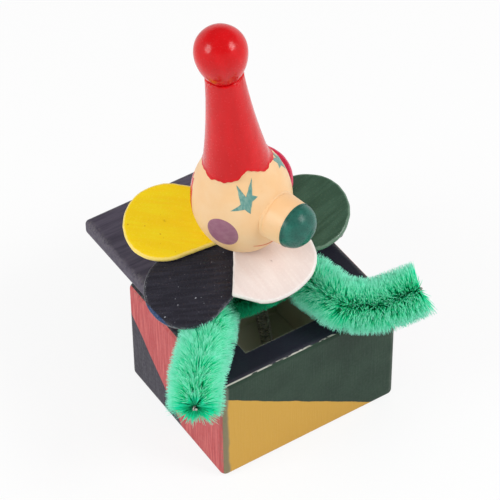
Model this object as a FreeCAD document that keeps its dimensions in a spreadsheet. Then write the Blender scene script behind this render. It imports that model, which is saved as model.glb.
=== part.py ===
# Jack in the box: a painted wooden box with a loose lid pushed back, a turned clown on a coil spring,
# a collar of five painted discs and two bendable chenille arms.
# Millimetres, +Z up, front of the box towards -Y, origin at the middle of the box's underside.
import FreeCAD, Part
import math
import os
import re
import Sketcher

Vector = FreeCAD.Vector
Placement = FreeCAD.Placement
Rotation = FreeCAD.Rotation

X_AXIS = Vector(1, 0, 0)
Y_AXIS = Vector(0, 1, 0)
Z_AXIS = Vector(0, 0, 1)
NO_TURN = Rotation()

SIZES = {
    # Box of boards
    "box_width": 50, "box_depth": 42, "box_height": 31.5,
    "front_board": 6.5, "side_board": 11, "floor_board": 5, "board_round": 1.6,
    # Lid that lies on the rim, pushed back
    "lid_width": 52, "lid_depth": 37.5, "lid_thickness": 4.2, "lid_round": 1.2,
    "lid_turn": 0.4, "lid_shift": 1.45, "lid_front": 4.5,
    # Coil spring between its seat and the neck plug
    "spring_outside": 3.2, "wire_diameter": 0.4, "spring_pitch": 0.95, "end_gap": 0.3,
    "seat_radius": 3.4, "seat_thickness": 1.2, "peg_radius": 0.8, "peg_height": 2.2,
    "seat_across": 2.0, "seat_forward": 1.3,
    "plug_radius": 0.85, "plug_length": 4, "flange_radius": 2.6, "flange_thickness": 1.2,
    # Figure, measured along its own leaning axis from the pivot in the neck
    "pivot_over_rim": 8.5, "pivot_across": 1.65, "pivot_back": 1.6, "figure_lean": 7.4, "figure_bow": 2.5,
    "dowel_radius": 2.3, "glue_gap": 0.05, "pivot_gap": 0.3,
    "collar_height": 11, "collar_tilt": 14, "collar_tilt_way": 237,
    "hub_radius": 10.5, "hub_thickness": 2.5, "hub_bore_gap": 0.85,
    "petal_radius": 10.3, "petal_thickness": 1.7, "petal_round": 0.6, "petal_droop": 3,
    "lower_lift": 0.05, "upper_lift": 2.1, "notch_length": 4.6, "notch_half": 3.2,
    "head_radius": 11.8, "head_height": 25.6, "head_flat": 14, "brow_arc": 20, "chin_arc": 16.5,
    "dowel_depth": 8, "head_gap": 0.3,
    "hat_base": 7.8, "hat_lip": 0.5, "hat_hollow": 220, "hat_top": 4.2, "hat_length": 29.3,
    "tenon_radius": 2, "tenon_length": 5, "ball_radius": 6, "ball_drop": 7, "ball_flat": 3.9,
    "nose_base": 5.9, "nose_end": 5.3, "nose_taper": 6.8, "nose_dome": 3.6, "nose_rise": 1,
    "nose_tenon_radius": 2.5, "nose_tenon": 4.5, "nose_turn": 16,
    # Chenille stem: twisted wire core with pile
    "pile_radius": 4.9, "wrap_radius": 3.3, "stem_wire_radius": 0.6, "stem_bore_gap": 0.1, "wire_tip": 1.2,
    "wrap_start": 5, "widest_bend": 20,
}

# Each collar disc: name, direction from the figure's own +X, reach of its centre, which layer of the two
PETALS = [
    ("navy", 187, 19, "lower"),
    ("green", 347.6, 15.1, "lower"),
    ("yellow", 134.2, 19.5, "upper"),
    ("white", 271, 9.6, "upper"),
    ("crimson", 51.8, 13.5, "upper"),
]

doc = FreeCAD.newDocument("jack_in_the_box")
sheet = doc.addObject("Spreadsheet::Sheet", "Sizes")
for row, (alias, value) in enumerate(SIZES.items(), start=1):
    sheet.set(f"A{row}", alias)
    sheet.set(f"B{row}", str(value))
    sheet.setAlias(f"B{row}", alias)
for row, (name, angle, reach, layer) in enumerate(PETALS, start=1):
    for column, alias, value in (("D", "angle", angle), ("E", "reach", reach)):
        sheet.set(f"{column}{row}", str(value))
        sheet.setAlias(f"{column}{row}", f"{name}_{alias}")
doc.recompute()

nodes = []


def size(expression):
    return float(sheet.evalExpression(expression))


def bound(expression):
    # The same expression as seen from another object of the document
    return re.sub(r"[a-z_]+", lambda word: f"Sizes.{word[0]}" if word[0] in SIZES else word[0], expression)


def origin_plane(body, role):
    return next(plane for plane in body.Origin.OriginFeatures if plane.Role == role)


def arc_between(start, end, radius, side):
    # Minor arc with its centre to the left (side 1) or right (side -1) of the way from start to end
    chord = end - start
    middle = (start + end) * 0.5
    left = Vector(-chord.y, chord.x, 0).normalize()
    centre = middle + left * side * math.sqrt(radius ** 2 - (chord.Length / 2) ** 2)
    first, last = (start, end) if side > 0 else (end, start)
    angles = [math.atan2(p.y - centre.y, p.x - centre.x) for p in (first, last)]
    return Part.ArcOfCircle(Part.Circle(centre, Z_AXIS, radius), angles[0], angles[1])


def draw_outline(sketch, outline):
    # Corners are (x, y) or (x, y, radius, side), where the last two bend the line to the next corner
    corners = [Vector(size(corner[0]), size(corner[1]), 0) for corner in outline]
    starts = []
    for index, corner in enumerate(outline):
        start = corners[index]
        end = corners[(index + 1) % len(corners)]
        if len(corner) == 4:
            geometry = arc_between(start, end, size(corner[2]), corner[3])
            starts.append((1, 2) if corner[3] > 0 else (2, 1))
        else:
            geometry = Part.LineSegment(start, end)
            starts.append((1, 2))
        sketch.addGeometry(geometry)
    for index, corner in enumerate(outline):
        before = (index - 1) % len(outline)
        here = starts[index][0]
        sketch.addConstraint(Sketcher.Constraint("Coincident", before, starts[before][1], index, here))
        for kind, axis, text in (("DistanceX", -2, corner[0]), ("DistanceY", -1, corner[1])):
            if text == "0":
                sketch.addConstraint(Sketcher.Constraint("PointOnObject", index, here, axis))
            else:
                held = sketch.addConstraint(Sketcher.Constraint(kind, -1, 1, index, here, size(text)))
                sketch.setExpression(f"Constraints[{held}]", bound(text))
        if len(corner) == 4:
            held = sketch.addConstraint(Sketcher.Constraint("Radius", index, size(corner[2])))
            sketch.setExpression(f"Constraints[{held}]", bound(corner[2]))


def new_body(name):
    body = doc.addObject("PartDesign::Body", name)
    body.Label = name
    nodes.append(body)
    return body


def new_sketch(body, role, name, outline):
    sketch = body.newObject("Sketcher::SketchObject", f"{body.Name}_{name}")
    sketch.AttachmentSupport = [(origin_plane(body, role), "")]
    sketch.MapMode = "FlatFace"
    draw_outline(sketch, outline)
    return sketch


def turned(name, outline):
    # A piece turned on a lathe: its half outline is spun about the body's own Z axis
    body = new_body(name)
    sketch = new_sketch(body, "XZ_Plane", "outline", outline)
    turn = body.newObject("PartDesign::Revolution", f"{name}_turned")
    turn.Profile = sketch
    turn.ReferenceAxis = (sketch, ["V_Axis"])
    turn.Angle = 360
    doc.recompute()
    return body


def board(name, width, depth, thickness, rounded):
    # A sawn board with the edges that the test picks rounded over by sanding
    body = new_body(name)
    sketch = new_sketch(body, "XY_Plane", "plan", [("0", "0"), (width, "0"), (width, depth), ("0", depth)])
    pad = body.newObject("PartDesign::Pad", f"{name}_board")
    pad.Profile = sketch
    pad.setExpression("Length", bound(thickness))
    doc.recompute()
    if rounded:
        test, radius = rounded
        edges = [f"Edge{i}" for i, edge in enumerate(pad.Shape.Edges, start=1) if test(edge.CenterOfMass)]
        fillet = body.newObject("PartDesign::Fillet", f"{name}_rounding")
        fillet.Base = (pad, edges)
        fillet.setExpression("Radius", bound(radius))
        doc.recompute()
    return body


def solid(name, shape):
    feature = doc.addObject("Part::Feature", name)
    feature.Label = name
    feature.Shape = shape
    nodes.append(feature)
    return feature


# Box boards: front and back run the full width, the sides and floor fit between them
half_width = size("box_width / 2")
half_depth = size("box_depth / 2")
rim = size("box_height")
TOUCH = 1e-6


def off_inner_face(middle):
    return middle.y < size("front_board") - TOUCH


def long_outer_edge(middle):
    return middle.x < TOUCH and abs(middle.z - rim / 2) > rim / 2 - TOUCH


def any_edge(middle):
    return True


front_wall = board("front_wall", "box_width", "front_board", "box_height", (off_inner_face, "board_round"))
front_wall.Placement = Placement(Vector(-half_width, -half_depth, 0), NO_TURN)
back_wall = board("back_wall", "box_width", "front_board", "box_height", (off_inner_face, "board_round"))
back_wall.Placement = Placement(Vector(half_width, half_depth, 0), Rotation(Z_AXIS, 180))
inner_depth = "box_depth - 2 * front_board"
left_wall = board("left_wall", "side_board", inner_depth, "box_height", (long_outer_edge, "board_round"))
left_wall.Placement = Placement(Vector(-half_width, -size(inner_depth) / 2, 0), NO_TURN)
right_wall = board("right_wall", "side_board", inner_depth, "box_height", (long_outer_edge, "board_round"))
right_wall.Placement = Placement(Vector(half_width, size(inner_depth) / 2, 0), Rotation(Z_AXIS, 180))
inner_width = "box_width - 2 * side_board"
box_floor = board("box_floor", inner_width, inner_depth, "floor_board", None)
box_floor.Placement = Placement(Vector(-size(inner_width) / 2, -size(inner_depth) / 2, 0), NO_TURN)

# Lid: a slab that lies flat on the rim behind the spring
lid = board("lid", "lid_width", "lid_depth", "lid_thickness", (any_edge, "lid_round"))
lid_turn = Rotation(Z_AXIS, size("lid_turn"))
lid_middle = Vector(size("lid_shift"), size("lid_front + lid_depth / 2"), rim)
lid_corner = Vector(-size("lid_width / 2"), -size("lid_depth / 2"), 0)
lid.Placement = Placement(lid_middle + lid_turn.multVec(lid_corner), lid_turn)

# Spring line: from the seat on the floor to the pivot in the neck, leaning a little
floor_top = size("floor_board")
pivot = Vector(-size("pivot_across"), size("pivot_back"), rim + size("pivot_over_rim"))
seat_foot = Vector(size("seat_across"), -size("seat_forward"), floor_top)
seat_top = seat_foot + Z_AXIS * size("seat_thickness")
spring_line = (pivot - seat_top).normalize()
spring_turn = Rotation(Z_AXIS, spring_line)

spring_seat = turned("spring_seat", [
    ("0", "0"),
    ("seat_radius", "0"),
    ("seat_radius", "seat_thickness"),
    ("peg_radius", "seat_thickness"),
    ("peg_radius", "seat_thickness + peg_height"),
    ("0", "seat_thickness + peg_height"),
])
spring_seat.Placement = Placement(seat_foot, NO_TURN)

# Neck plug: its shank fills the top coils, and its flange takes the spring's push
plug_height = "plug_length + flange_thickness"
neck_plug = turned("neck_plug", [
    ("0", "0"),
    ("plug_radius", "0"),
    ("plug_radius", "plug_length"),
    ("flange_radius", "plug_length"),
    ("flange_radius", plug_height),
    ("0", plug_height),
])
flange_top = size("dowel_radius + pivot_gap")
neck_plug.Placement = Placement(pivot - spring_line * (flange_top + size(plug_height)), spring_turn)


def biarc(start, start_way, end, end_way):
    # Two arcs that leave start and reach end along the given ways
    across = end - start
    ways = start_way + end_way
    turn = 2 * (1 - start_way.dot(end_way))
    reach = (-across.dot(ways) + math.sqrt(across.dot(ways) ** 2 + turn * across.dot(across))) / turn
    first_knee = start + start_way * reach
    last_knee = end - end_way * reach
    meet = (first_knee + last_knee) * 0.5
    return [arc_at_knee(start, first_knee, meet), arc_at_knee(meet, last_knee, end)]


def arc_at_knee(start, knee, end):
    middle = (start + end) * 0.5
    half_chord = (end - start).Length / 2
    rise = (knee - middle).Length
    crown = half_chord * math.tan(math.atan2(rise, half_chord) / 2)
    return Part.Arc(start, middle + (knee - middle).normalize() * crown, end).toShape()


def tube(edges, radius, start, way):
    ring = Part.Wire([Part.makeCircle(radius, start, way)])
    return Part.Wire(edges).makePipeShell([ring], True, False)


# Spring: one unbroken helix of quarter turns, each a pair of arcs
wire_radius = size("wire_diameter / 2")
coil_radius = size("spring_outside / 2") - wire_radius
spring_foot = seat_top + spring_line * (size("end_gap") + size("wire_diameter"))
spring_length = (pivot - spring_foot).Length - flange_top - size("flange_thickness + end_gap + wire_diameter")
quarter_count = 4 * round(spring_length / size("spring_pitch"))
quarter_rise = spring_length / quarter_count
across_coil = spring_turn.multVec(X_AXIS)
beside_coil = spring_turn.multVec(Y_AXIS)


def coil_point(quarter):
    angle = quarter * math.pi / 2
    out = across_coil * math.cos(angle) + beside_coil * math.sin(angle)
    return spring_foot + spring_line * (quarter * quarter_rise) + out * coil_radius


def coil_way(quarter):
    angle = quarter * math.pi / 2
    round_way = beside_coil * math.cos(angle) - across_coil * math.sin(angle)
    return (round_way * coil_radius * math.pi / 2 + spring_line * quarter_rise).normalize()


coil_edges = []
for quarter in range(quarter_count):
    coil_edges += biarc(coil_point(quarter), coil_way(quarter), coil_point(quarter + 1), coil_way(quarter + 1))
spring = solid("spring", tube(coil_edges, wire_radius, coil_point(0), coil_way(0)))
STEPS_PER_TURN = 24
turn_points = [coil_point(4 * step / STEPS_PER_TURN) for step in range(STEPS_PER_TURN + 1)]
next_turn = [coil_point(4 + 4 * step / STEPS_PER_TURN) for step in range(STEPS_PER_TURN + 1)]
coil_gap = min((a - b).Length for a in turn_points for b in next_turn[STEPS_PER_TURN // 2:])
print(f"spring: {quarter_count // 4} turns, least gap to itself {coil_gap - 2 * wire_radius:.2f} mm")

# Figure: everything above the pivot leans together
figure = Placement(pivot, Rotation(Y_AXIS, -size("figure_lean")) * Rotation(X_AXIS, size("figure_bow")))


def along_figure(height, turn=NO_TURN):
    return figure * Placement(Vector(0, 0, height), turn)


# Collar: the hub and its discs were glued on at a slant of their own
tilt_way = Rotation(Z_AXIS, size("collar_tilt_way"))
collar_turn = tilt_way * Rotation(Y_AXIS, size("collar_tilt")) * tilt_way.inverted()
collar = along_figure(size("collar_height"), collar_turn)


def set_petal(body, name, layer):
    # The disc slides out along the sloping hub, at its own height over it
    spread = Placement(Vector(), Rotation(Z_AXIS, size(f"{name}_angle")))
    droop = Placement(Vector(), Rotation(Y_AXIS, size("petal_droop")))
    place = Vector(size(f"{name}_reach"), 0, size(f"{layer}_lift"))
    body.Placement = collar * spread * droop * Placement(place, NO_TURN)


for petal_name, angle, reach, layer in PETALS:
    petal = turned(f"petal_{petal_name}", [
        ("0", "0"),
        ("petal_radius - petal_round", "0", "petal_round", 1),
        ("petal_radius", "petal_round"),
        ("petal_radius", "petal_thickness - petal_round", "petal_round", 1),
        ("petal_radius - petal_round", "petal_thickness"),
        ("0", "petal_thickness"),
    ])
    set_petal(petal, petal_name, layer)

# The white disc reaches in under the head, so it is notched to pass the neck dowel
white_petal = doc.getObject("petal_white")
notch_sketch = new_sketch(white_petal, "XY_Plane", "notch", [
    ("-petal_radius - notch_half", "-notch_half"),
    ("notch_length - petal_radius", "-notch_half"),
    ("notch_length - petal_radius", "notch_half"),
    ("-petal_radius - notch_half", "notch_half"),
])
whole_volume = white_petal.Shape.Volume
notch = white_petal.newObject("PartDesign::Pocket", "petal_white_notch")
notch.Profile = notch_sketch
notch.Type = "ThroughAll"
notch.Midplane = True
doc.recompute()
if white_petal.Shape.Volume >= whole_volume:
    raise RuntimeError("the dowel notch cuts nothing")

# Hub: a shallow cone under the discs, glued round the neck dowel
hub_bore = "dowel_radius + hub_bore_gap"
collar_hub = turned("collar_hub", [
    (hub_bore, "0"),
    ("hub_radius", "0"),
    ("hub_radius", "hub_thickness - hub_radius * tan(petal_droop * 1 deg)"),
    (hub_bore, "hub_thickness - (dowel_radius + hub_bore_gap) * tan(petal_droop * 1 deg)"),
])
collar_hub.Placement = collar * Placement(Vector(0, 0, -size("hub_thickness")), NO_TURN)

# Neck dowel: a round end at the pivot, glued into the head
head_bottom = "head_height - head_flat"
dowel_length = "dowel_radius + head_height - head_flat + dowel_depth - glue_gap"
neck_dowel = turned("neck_dowel", [
    ("0", "0", "dowel_radius", 1),
    ("dowel_radius", "dowel_radius"),
    ("dowel_radius", dowel_length),
    ("0", dowel_length),
])
neck_dowel.Placement = along_figure(-size("dowel_radius"))

# Head: a turned egg with a flat for the hat, a socket for the dowel, a seat for the nose and a slanting foot
hat_seat = "head_flat + sqrt(brow_arc ^ 2 - (brow_arc - head_radius + hat_base) ^ 2)"
foot_radius = "head_radius - chin_arc + sqrt(chin_arc ^ 2 - head_flat ^ 2)"
dowel_hole = "dowel_radius + glue_gap"
hat_hole = "tenon_radius + glue_gap"
head = turned("head", [
    ("0", "dowel_depth"),
    (dowel_hole, "dowel_depth"),
    (dowel_hole, "0"),
    (foot_radius, "0", "chin_arc", 1),
    ("head_radius", "head_flat", "brow_arc", 1),
    ("hat_base", hat_seat),
    (hat_hole, hat_seat),
    (hat_hole, hat_seat + " - tenon_length - glue_gap"),
    ("0", hat_seat + " - tenon_length - glue_gap"),
])
nose_seat = "sqrt(head_radius ^ 2 - nose_base ^ 2)"
nose_level = "head_flat + nose_rise"
socket_sketch = new_sketch(head, "YZ_Plane", "nose_socket", [
    (nose_seat + " - nose_tenon - glue_gap", nose_level),
    ("head_radius + nose_taper", nose_level),
    ("head_radius + nose_taper", nose_level + " + nose_base + glue_gap"),
    (nose_seat, nose_level + " + nose_base + glue_gap"),
    (nose_seat, nose_level + " + nose_tenon_radius + glue_gap"),
    (nose_seat + " - nose_tenon - glue_gap", nose_level + " + nose_tenon_radius + glue_gap"),
])
egg_volume = head.Shape.Volume
socket = head.newObject("PartDesign::Groove", "head_nose_socket")
socket.Profile = socket_sketch
socket.ReferenceAxis = (socket_sketch, ["Edge1"])
socket.Angle = 360
doc.recompute()
if head.Shape.Volume >= egg_volume:
    raise RuntimeError("the nose socket cuts nothing")
nose_way = size("nose_turn") - 90
head_turn = nose_way - 90

# The foot is cut to the collar's slant, just over the upper discs
foot_level = (
    "(collar_height - head_height + head_flat"
    " + (upper_lift + petal_thickness + head_gap) / cos(collar_tilt * 1 deg))"
)
foot_sketch = new_sketch(head, "XZ_Plane", "foot_slant", [
    ("-head_radius", "-head_radius"),
    ("head_radius", "-head_radius"),
    ("head_radius", foot_level + " - head_radius * tan(collar_tilt * 1 deg)"),
    ("-head_radius", foot_level + " + head_radius * tan(collar_tilt * 1 deg)"),
])
foot_sketch.AttachmentOffset = Placement(Vector(), Rotation(Y_AXIS, size("collar_tilt_way") - head_turn))
socketed_volume = head.Shape.Volume
foot_cut = head.newObject("PartDesign::Pocket", "head_foot_cut")
foot_cut.Profile = foot_sketch
foot_cut.Type = "ThroughAll"
foot_cut.Midplane = True
doc.recompute()
if head.Shape.Volume >= socketed_volume:
    raise RuntimeError("the foot cut takes nothing away")
head.Placement = along_figure(size(head_bottom), Rotation(Z_AXIS, head_turn))

# Nose: a tapered peg with a domed end
nose_shoulder = "nose_tenon + nose_taper"
nose = turned("nose", [
    ("0", "0"),
    ("nose_tenon_radius", "0"),
    ("nose_tenon_radius", "nose_tenon"),
    ("nose_base", "nose_tenon"),
    ("nose_end", nose_shoulder, "(nose_end ^ 2 + nose_dome ^ 2) / (2 * nose_dome)", 1),
    ("0", nose_shoulder + " + nose_dome"),
])
nose_line = Placement(Vector(), Rotation(Z_AXIS, nose_way)) * Placement(Vector(), Rotation(Y_AXIS, 90))
nose_foot = Placement(Vector(0, 0, size(nose_seat + " - nose_tenon")), NO_TURN)
nose.Placement = along_figure(size("head_height + nose_rise")) * nose_line * nose_foot

# Hat: a tall hollow-sided cone, with a tenon below it and a drop-shaped ball on top
hat = turned("hat", [
    ("0", "0"),
    ("tenon_radius", "0"),
    ("tenon_radius", "tenon_length"),
    ("hat_base", "tenon_length"),
    ("hat_base", "tenon_length + hat_lip", "hat_hollow", -1),
    ("hat_top", "tenon_length + hat_length"),
    ("0", "tenon_length + hat_length"),
])
hat_foot = size(head_bottom) + size(hat_seat)
hat.Placement = along_figure(hat_foot - size("tenon_length"))
ball_side = "((ball_radius - ball_flat) ^ 2 + ball_drop ^ 2) / (2 * (ball_radius - ball_flat))"
hat_ball = turned("hat_ball", [
    ("0", "0"),
    ("ball_flat", "0", ball_side, 1),
    ("ball_radius", "ball_drop", "ball_radius", 1),
    ("0", "ball_drop + ball_radius"),
])
hat_ball.Placement = along_figure(hat_foot + size("hat_length"))

# Chenille stem: hooked round the back of the neck, with an arm to each side over the front rim
left = -half_width
right = half_width
front = -half_depth
LEFT_ARM = [
    Vector(left - 9.9, front - 4.5, rim + 3),
    Vector(left - 4.5, front + 3.1, rim + 5.1),
    Vector(left + 3.4, front + 11, rim + 5.1),
]
NECK_LOOP = [
    pivot + Vector(-4.5, 6.8, 1.5),
    pivot + Vector(4.5, 6.8, 1.5),
]
RIGHT_ARM = [
    Vector(9.8, front + 1.1, rim + 7.2),
    Vector(16.3, front - 4.2, rim + 7.7),
    Vector(right + 0.9, front - 8, rim + 11.5),
]
STEM = LEFT_ARM + NECK_LOOP + RIGHT_ARM
RUN_SHARE = 0.48
END_RUN_SHARE = 0.85


def bend_reach(points, index, step):
    # How much of the run on that side of the point its bend may take
    other = index + step
    share = END_RUN_SHARE if other in (0, len(points) - 1) else RUN_SHARE
    return share * (points[other] - points[index]).Length


def bend_radius(points, index):
    back = points[index - 1] - points[index]
    ahead = points[index + 1] - points[index]
    half_turn = (math.pi - back.getAngle(ahead)) / 2
    reach = min(bend_reach(points, index, -1), bend_reach(points, index, 1))
    return min(size("widest_bend"), reach / math.tan(half_turn))


stem_bends = [bend_radius(STEM, index) for index in range(1, len(STEM) - 1)]
print("stem bend radii:", [round(radius, 1) for radius in stem_bends])


def route(points, bends):
    # Straight runs joined by arcs that touch both runs
    edges = []
    place = points[0]
    for index, radius in enumerate(bends, start=1):
        knee = points[index]
        back = (points[index - 1] - knee).normalize()
        ahead = (points[index + 1] - knee).normalize()
        reach = radius * math.tan((math.pi - back.getAngle(ahead)) / 2)
        edges.append(Part.LineSegment(place, knee + back * reach).toShape())
        edges.append(arc_at_knee(knee + back * reach, knee, knee + ahead * reach))
        place = knee + ahead * reach
    edges.append(Part.LineSegment(place, points[-1]).toShape())
    return edges


def towards(start, end, distance):
    return start + (end - start).normalize() * distance


def pile(name, points, bends, radius):
    way = points[1] - points[0]
    edges = route(points, bends)
    outer = tube(edges, radius, points[0], way)
    bore = size("stem_wire_radius + stem_bore_gap")
    shape = outer.cut(tube(edges, bore, points[0], way))
    length = sum(edge.Length for edge in edges)
    expected = math.pi * (radius ** 2 - bore ** 2) * length
    print(f"{name}: length {length:.1f} mm, volume against section times length {shape.Volume / expected:.3f}")
    return solid(name, shape)


left_root = towards(LEFT_ARM[-1], NECK_LOOP[0], size("wrap_start"))
right_root = towards(RIGHT_ARM[0], NECK_LOOP[-1], size("wrap_start"))
left_tip = towards(LEFT_ARM[0], LEFT_ARM[1], size("wire_tip"))
right_tip = towards(RIGHT_ARM[-1], RIGHT_ARM[-2], size("wire_tip"))
arm_left = pile("arm_left", [left_tip] + LEFT_ARM[1:] + [left_root], stem_bends[:2], size("pile_radius"))
arm_wrap = pile("arm_wrap", [left_root] + NECK_LOOP + [right_root], stem_bends[2:4], size("wrap_radius"))
arm_right = pile("arm_right", [right_root] + RIGHT_ARM[:-1] + [right_tip], stem_bends[4:], size("pile_radius"))
wire_route = route(STEM, stem_bends)
arm_wire = solid("arm_wire", tube(wire_route, size("stem_wire_radius"), STEM[0], STEM[1] - STEM[0]))

doc.recompute()
for thing in doc.Objects:
    if "Invalid" in thing.State or "Error" in thing.State:
        raise RuntimeError(f"{thing.Label} failed: {thing.State}")
for node in nodes:
    if node.Shape.isNull() or not node.Shape.isValid():
        raise RuntimeError(f"{node.Label} has no valid shape")

os.makedirs("parts", exist_ok=True)
for node in nodes:
    node.Shape.exportStep(os.path.join("parts", f"{node.Label}.step"))
print(f"{len(nodes)} sub-parts written")
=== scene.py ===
# %% [markdown]
# # Jack in the box
# A small painted wooden box with a clown on a coil spring. The CAD model holds the sizes and the
# joints. This script gives each piece its finish: hand-painted boards, thick enamel on turned wood,
# a chenille stem bent into two arms, and the bright wire of the spring. A piece whose solid already has
# the real shape only gets a material. The others are remade as finer meshes, and all but the spring ride on
# the same bodies.

# %% Load the frame
import math
import random

import bpy
from mathutils import Matrix, Vector, noise
from mathutils.bvhtree import BVHTree


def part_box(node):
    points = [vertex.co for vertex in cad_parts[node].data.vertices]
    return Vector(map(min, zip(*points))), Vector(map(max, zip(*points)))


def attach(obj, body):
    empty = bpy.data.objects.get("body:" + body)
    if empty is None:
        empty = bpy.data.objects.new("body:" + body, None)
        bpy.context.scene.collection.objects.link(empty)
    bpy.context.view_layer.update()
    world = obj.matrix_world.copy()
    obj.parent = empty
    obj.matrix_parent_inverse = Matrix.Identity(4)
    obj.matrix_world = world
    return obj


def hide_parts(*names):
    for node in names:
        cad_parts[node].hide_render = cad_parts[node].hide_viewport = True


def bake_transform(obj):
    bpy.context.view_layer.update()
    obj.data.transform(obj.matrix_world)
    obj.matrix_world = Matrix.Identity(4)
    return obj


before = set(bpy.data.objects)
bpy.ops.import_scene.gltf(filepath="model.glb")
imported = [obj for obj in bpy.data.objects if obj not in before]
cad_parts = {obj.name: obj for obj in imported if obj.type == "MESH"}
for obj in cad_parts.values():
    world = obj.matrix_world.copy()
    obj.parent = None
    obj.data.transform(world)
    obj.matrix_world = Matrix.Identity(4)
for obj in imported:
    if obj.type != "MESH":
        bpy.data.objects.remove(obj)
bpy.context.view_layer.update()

MM = 0.001

# %% [markdown]
# ## Helpers
# Colours are picked as sRGB hex values, as a paint chart gives them, and Blender's shaders want linear
# light, so one function turns one into the other. A material could be wired by hand in the node editor.
# In a script it reads best as a list of steps, so one function adds a node, sets it up and links it, and
# gives back the socket that the next step needs.

# %% Colours and nodes
# Settings that many nodes share, and the sockets of a Mix node that blends colours
SMOOTH = {"interpolation_type": "SMOOTHSTEP"}
COLOURS = {"data_type": "RGBA", "output": 2}
FACTOR, FROM, TO = 0, 6, 7


def linear(hex_colour):
    shares = [int(hex_colour[i:i + 2], 16) / 255 for i in (1, 3, 5)]
    return (*[c / 12.92 if c <= 0.04045 else ((c + 0.055) / 1.055) ** 2.4 for c in shares], 1)


def add(tree, kind, inputs=(), output=0, **settings):
    # Inputs are numbers, hex colours or sockets to link, in order or by name
    node = tree.nodes.new("ShaderNode" + kind)
    for name, value in settings.items():
        setattr(node, name, value)
    for socket, value in inputs.items() if isinstance(inputs, dict) else enumerate(inputs):
        if isinstance(value, bpy.types.NodeSocket):
            tree.links.new(value, node.inputs[socket])
        else:
            node.inputs[socket].default_value = linear(value) if isinstance(value, str) else value
    return node.outputs[output] if node.outputs else None


def new_finish(name, **constants):
    # A material with its constant values on the shader's own sockets, and its coordinates in millimetres
    material = bpy.data.materials.new(name)
    material.use_nodes = True
    tree = material.node_tree
    shader = tree.nodes["Principled BSDF"]
    for socket, value in constants.items():
        shader.inputs[socket.replace("_", " ")].default_value = value
    place = add(tree, "TexCoord", output="Object")
    place_mm = add(tree, "VectorMath", {0: place, "Scale": 1 / MM}, operation="SCALE")
    return material, tree, shader, place_mm


def connect(shader, **steps):
    # Links the last steps of a finish to its shader
    for socket, step in steps.items():
        shader.id_data.links.new(step, shader.inputs[socket.replace("_", " ")])


def paint_nodes(material, *names):
    for name in names:
        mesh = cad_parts[name].data
        mesh.materials.clear()
        mesh.materials.append(material)
    print(material.name, "on", *names)


# %% [markdown]
# ## Meshes from rings
# Most pieces here are turned, dipped or drawn: their surface is a row of rings. Such a mesh could be spun
# with a Screw modifier, but rings written out by a formula can waver, lean and thin as a handmade piece
# does. One function joins the rings with faces, one closes the ends, and one makes the piece and puts it on
# its body.

# %% Rings, faces and pieces
def grid_faces(rows, columns):
    # Faces of a closed tube of rings, each ring a row of points
    faces = []
    for row in range(rows - 1):
        for column in range(columns):
            following = (column + 1) % columns
            a, b = row * columns + column, row * columns + following
            faces.append((a, b, b + columns, a + columns))
    return faces


def capped(points, rows, columns):
    # Closes both ends of a tube of rings with a fan round a middle point
    faces = grid_faces(rows, columns)
    for ring, turn in ((range(columns), -1), (range((rows - 1) * columns, rows * columns), 1)):
        ring = list(ring)
        middle = sum((Vector(points[i]) for i in ring), Vector()) / columns
        points.append(middle)
        for i in range(columns):
            edge = (ring[i], ring[(i + 1) % columns])
            faces.append((*edge[::turn], len(points) - 1))
    return faces


def new_piece(name, points_mm, faces, material, body, place=None):
    mesh = bpy.data.meshes.new(name)
    mesh.from_pydata([Vector(p) * MM for p in points_mm], [], faces)
    mesh.validate()
    mesh.materials.append(material)
    mesh.shade_smooth()
    piece = bpy.data.objects.new(name, mesh)
    bpy.context.scene.collection.objects.link(piece)
    if place is not None:
        piece.matrix_world = place
    if body:
        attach(piece, body)
    print(name, len(faces), "faces")
    return piece


# %% [markdown]
# ## Camera, floor and light
# The photograph was taken with a long lens from about forty-four degrees up, to the left of the front.
# Two softboxes at the sides of the camera give the pair of soft highlights on the ball, and a white
# surround fills the shadows. The floor shows white to the camera but still takes the object's shadow.

# %% Camera
IMAGE_WIDTH = 500
FOCAL_PIXELS = 2600
SENSOR_WIDTH = 36
CAMERA_AZIMUTH = math.radians(-32.65)
CAMERA_ELEVATION = math.radians(44.26)
CAMERA_ROLL = math.radians(-0.67)
CAMERA_PLACE = Vector((-239.23, -368.40, 474.00)) * MM
camera_data = bpy.data.cameras.new("camera")
camera_data.sensor_width = SENSOR_WIDTH
camera_data.lens = FOCAL_PIXELS / IMAGE_WIDTH * SENSOR_WIDTH
camera = bpy.data.objects.new("camera", camera_data)
bpy.context.scene.collection.objects.link(camera)
turned = Matrix.Rotation(CAMERA_AZIMUTH, 4, "Z") @ Matrix.Rotation(math.pi / 2 - CAMERA_ELEVATION, 4, "X")
camera.matrix_world = Matrix.Translation(CAMERA_PLACE) @ turned @ Matrix.Rotation(CAMERA_ROLL, 4, "Z")
bpy.context.scene.camera = camera
bpy.context.scene.view_settings.view_transform = "Standard"
print("camera with a lens of", camera_data.lens, "mm")

# %% Floor
FLOOR_HALF = 2.0
FLOOR_GLOW = 0.85


def shows_as_background(tree):
    # 1 for a look from the camera, a gloss or a glass, and 0 for a ray that carries light or shadow
    rays = add(tree, "LightPath").node.outputs
    seen = add(tree, "Math", [rays["Is Camera Ray"], rays["Is Glossy Ray"]], operation="MAXIMUM")
    return add(tree, "Math", [seen, rays["Is Transmission Ray"]], operation="MAXIMUM")


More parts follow.
